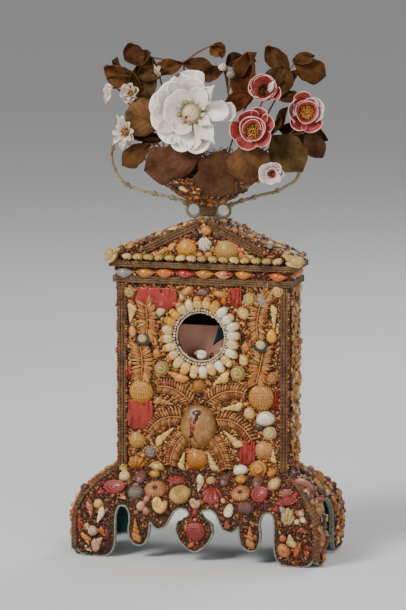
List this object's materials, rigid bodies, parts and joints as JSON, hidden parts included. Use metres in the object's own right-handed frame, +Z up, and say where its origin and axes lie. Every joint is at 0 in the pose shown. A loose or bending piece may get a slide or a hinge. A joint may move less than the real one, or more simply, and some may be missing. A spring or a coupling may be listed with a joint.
{
  "type": "shellwork watch stand",
  "caption": "Shell-covered watch stand: hollow case with a round porthole on a flared scalloped base, low roof, two-handled urn of shell flowers and velvet leaves.",
  "frame": {"origin": "on the ground below the middle of the base", "axes": "+Z up, the front with its porthole faces -Y, +X is to the right seen from the front"},
  "size_m": [0.22, 0.103, 0.4501],
  "materials": {
    "crusted_board": "board under a crust of small glued shells",
    "dark_lining": "dark blue-green paper",
    "pink_lining": "faded pink paper",
    "brown_paper_strip": "twisted brown paper",
    "pale_shell": "pale yellow and cream shell",
    "orange_shell": "orange-brown shell",
    "collar_binding": "greenish ribbon",
    "moss": "dark dried moss",
    "cord_wrap": "wire wound with cord",
    "white_shell": "white shell petals",
    "pink_shell": "pink shell petals with white edges",
    "pale_pink_shell": "pale pink shell petals",
    "cream_shell": "cream shell petals",
    "velvet_leaf": "brown velvet leaves on wire"
  },
  "bodies": {
    "root": {"case_front": "crusted_board", "case_left": "crusted_board", "case_right": "crusted_board", "case_back": "crusted_board", "base_front": "crusted_board", "base_back": "crusted_board", "base_left": "crusted_board", "base_right": "crusted_board", "cornice_board": "crusted_board", "cornice_plate": "crusted_board", "gable_front": "crusted_board", "gable_back": "crusted_board", "roof_left": "crusted_board", "roof_right": "crusted_board", "case_floor": "dark_lining", "case_top": "dark_lining", "watch_rest": "pink_lining", "corner_strip_front_left": "brown_paper_strip", "corner_strip_front_right": "brown_paper_strip", "corner_strip_back_left": "brown_paper_strip", "corner_strip_back_right": "brown_paper_strip", "cornice_strip_lower": "brown_paper_strip", "cornice_strip_upper": "brown_paper_strip", "raking_strip_left": "brown_paper_strip", "raking_strip_right": "brown_paper_strip", "urn_stem": "brown_paper_strip", "porthole_ring": "pale_shell", "cockle_left": "pale_shell", "cockle_right": "pale_shell", "spider_body_cowrie": "pale_shell", "gable_shells": "pale_shell", "cornice_beads": "pale_shell", "urchin_left": "pale_shell", "urchin_right": "pale_shell", "frieze_shells": "orange_shell", "limpet_orange": "orange_shell", "spider_leg_upper_left": "orange_shell", "spider_leg_upper_right": "orange_shell", "spider_leg_middle_left": "orange_shell", "spider_leg_middle_right": "orange_shell", "spider_leg_lower_left": "orange_shell", "spider_leg_lower_right": "orange_shell", "urn_bowl": "orange_shell", "urn_collar": "collar_binding", "moss_pad": "moss", "handle_left": "cord_wrap", "handle_right": "cord_wrap", "flower_white": "white_shell", "rose_upper": "pink_shell", "rose_middle": "pink_shell", "rose_right": "pink_shell", "flower_pale_pink": "pale_pink_shell", "flower_spray_cream": "cream_shell", "leaves_front": "velvet_leaf", "leaves_right": "velvet_leaf", "leaves_left": "velvet_leaf", "leaves_upper_left": "velvet_leaf", "leaves_upper_middle": "velvet_leaf", "leaves_upper_right": "velvet_leaf", "twig_top": "velvet_leaf"}
  },
  "joints": []
}
